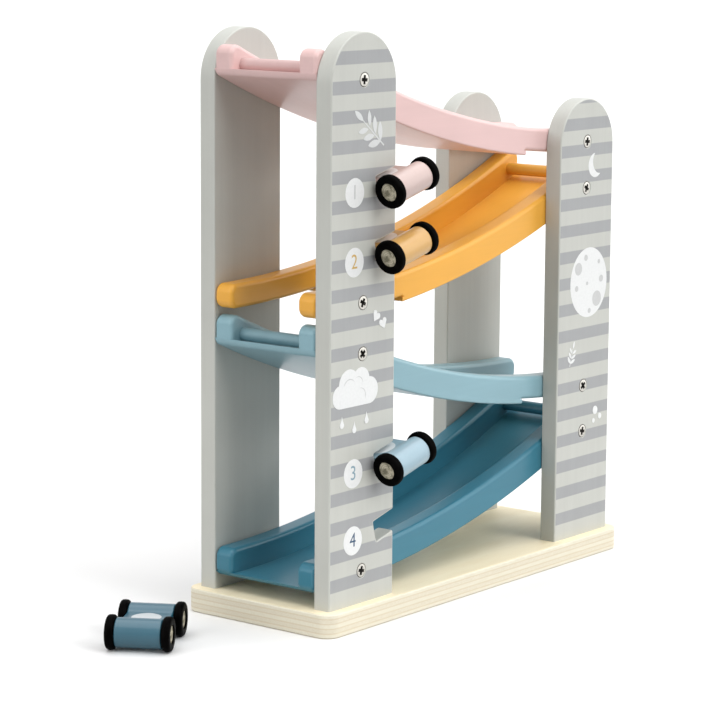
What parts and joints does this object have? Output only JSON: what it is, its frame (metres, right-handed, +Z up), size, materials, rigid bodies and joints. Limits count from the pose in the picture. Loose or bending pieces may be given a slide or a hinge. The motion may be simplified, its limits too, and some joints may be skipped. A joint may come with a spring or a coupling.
{
  "type": "click clack track toy",
  "caption": "Wooden car track: curved ramps zigzag down between upright boards on a plywood base, with small cars parked in notches and one on the floor.",
  "frame": {"origin": "middle of the base board's underside, on the floor", "axes": "+X along the base towards the short uprights, +Y to the back, away from the parked cars, +Z up"},
  "size_m": [0.3386, 0.1057, 0.29],
  "materials": {
    "plywood": "natural birch plywood, clear satin lacquer",
    "upright_paint": "light grey satin paint with darker grey stripes outside",
    "pink_paint": "pale pink semi-gloss paint",
    "yellow_paint": "mustard yellow semi-gloss paint",
    "light_blue_paint": "light blue semi-gloss paint",
    "blue_paint": "petrol blue semi-gloss paint",
    "hub_wood": "bare turned wood",
    "tyre_rubber": "smooth black rubber",
    "screw_steel": "zinc plated",
    "axle_steel": "plain steel wire"
  },
  "bodies": {
    "tower": {"base_board": "plywood", "front_left_upright": "upright_paint", "back_left_upright": "upright_paint", "front_right_upright": "upright_paint", "back_right_upright": "upright_paint", "front_left_screws": "screw_steel", "back_left_screws": "screw_steel", "front_right_screws": "screw_steel", "back_right_screws": "screw_steel", "base_screws": "screw_steel", "pink_ramp_floor": "pink_paint", "pink_ramp_front_rail": "pink_paint", "pink_ramp_back_rail": "pink_paint", "pink_ramp_stop_bar": "pink_paint", "yellow_ramp_floor": "yellow_paint", "yellow_ramp_front_rail": "yellow_paint", "yellow_ramp_back_rail": "yellow_paint", "yellow_ramp_stop_bar": "yellow_paint", "light_blue_ramp_floor": "light_blue_paint", "light_blue_ramp_front_rail": "light_blue_paint", "light_blue_ramp_back_rail": "light_blue_paint", "light_blue_ramp_stop_bar": "light_blue_paint", "blue_ramp_floor": "blue_paint", "blue_ramp_front_rail": "blue_paint", "blue_ramp_back_rail": "blue_paint", "blue_ramp_stop_bar": "blue_paint"},
    "pink_car": {"pink_car_body": "pink_paint"},
    "pink_car_front_wheels": {"pink_car_front_axle": "axle_steel", "pink_car_front_hubs": "hub_wood", "pink_car_front_tyres": "tyre_rubber"},
    "pink_car_rear_wheels": {"pink_car_rear_axle": "axle_steel", "pink_car_rear_hubs": "hub_wood", "pink_car_rear_tyres": "tyre_rubber"},
    "yellow_car": {"yellow_car_body": "yellow_paint"},
    "yellow_car_front_wheels": {"yellow_car_front_axle": "axle_steel", "yellow_car_front_hubs": "hub_wood", "yellow_car_front_tyres": "tyre_rubber"},
    "yellow_car_rear_wheels": {"yellow_car_rear_axle": "axle_steel", "yellow_car_rear_hubs": "hub_wood", "yellow_car_rear_tyres": "tyre_rubber"},
    "light_blue_car": {"light_blue_car_body": "light_blue_paint"},
    "light_blue_car_front_wheels": {"light_blue_car_front_axle": "axle_steel", "light_blue_car_front_hubs": "hub_wood", "light_blue_car_front_tyres": "tyre_rubber"},
    "light_blue_car_rear_wheels": {"light_blue_car_rear_axle": "axle_steel", "light_blue_car_rear_hubs": "hub_wood", "light_blue_car_rear_tyres": "tyre_rubber"},
    "blue_car": {"blue_car_body": "blue_paint"},
    "blue_car_front_wheels": {"blue_car_front_axle": "axle_steel", "blue_car_front_hubs": "hub_wood", "blue_car_front_tyres": "tyre_rubber"},
    "blue_car_rear_wheels": {"blue_car_rear_axle": "axle_steel", "blue_car_rear_hubs": "hub_wood", "blue_car_rear_tyres": "tyre_rubber"}
  },
  "joints": [
    {"name": "pink_car_pull_out", "type": "slide", "parent": "tower", "child": "pink_car", "axis": [0.9677, 0, 0.2521], "range_m": [0, 0.0185]},
    {"name": "pink_car_front_wheels_spin", "type": "hinge", "parent": "pink_car", "child": "pink_car_front_wheels", "pos_m": [-0.07411, -0.05075, 0.21719], "axis": [0.9677, 0, 0.2521], "continuous": true},
    {"name": "pink_car_rear_wheels_spin", "type": "hinge", "parent": "pink_car", "child": "pink_car_rear_wheels", "pos_m": [-0.07411, -0.02225, 0.21719], "axis": [0.9677, 0, 0.2521], "continuous": true},
    {"name": "yellow_car_pull_out", "type": "slide", "parent": "tower", "child": "yellow_car", "axis": [0.9677, 0, 0.2521], "range_m": [0, 0.0185]},
    {"name": "yellow_car_front_wheels_spin", "type": "hinge", "parent": "yellow_car", "child": "yellow_car_front_wheels", "pos_m": [-0.07411, -0.05075, 0.18549], "axis": [0.9677, 0, 0.2521], "continuous": true},
    {"name": "yellow_car_rear_wheels_spin", "type": "hinge", "parent": "yellow_car", "child": "yellow_car_rear_wheels", "pos_m": [-0.07411, -0.02225, 0.18549], "axis": [0.9677, 0, 0.2521], "continuous": true},
    {"name": "light_blue_car_pull_out", "type": "slide", "parent": "tower", "child": "light_blue_car", "axis": [0.9677, 0, 0.2521], "range_m": [0, 0.0185]},
    {"name": "light_blue_car_front_wheels_spin", "type": "hinge", "parent": "light_blue_car", "child": "light_blue_car_front_wheels", "pos_m": [-0.07411, -0.05075, 0.08149], "axis": [0.9677, 0, 0.2521], "continuous": true},
    {"name": "light_blue_car_rear_wheels_spin", "type": "hinge", "parent": "light_blue_car", "child": "light_blue_car_rear_wheels", "pos_m": [-0.07411, -0.02225, 0.08149], "axis": [0.9677, 0, 0.2521], "continuous": true},
    {"name": "blue_car_roll", "type": "slide", "parent": "tower", "child": "blue_car", "axis": [0.8634, 0.5045, 0], "range_m": [-0.06, 0.03]},
    {"name": "blue_car_front_wheels_spin", "type": "hinge", "parent": "blue_car", "child": "blue_car_front_wheels", "pos_m": [-0.1967, 0.01211, 0.0085], "axis": [0.5045, -0.8634, 0], "continuous": true},
    {"name": "blue_car_rear_wheels_spin", "type": "hinge", "parent": "blue_car", "child": "blue_car_rear_wheels", "pos_m": [-0.1721, 0.02649, 0.0085], "axis": [0.5045, -0.8634, 0], "continuous": true}
  ],
  "couplings": [
    {"joint": "blue_car_front_wheels_spin", "follows": "blue_car_roll", "rad_per_m": -117.65},
    {"joint": "blue_car_rear_wheels_spin", "follows": "blue_car_roll", "rad_per_m": -117.65}
  ]
}
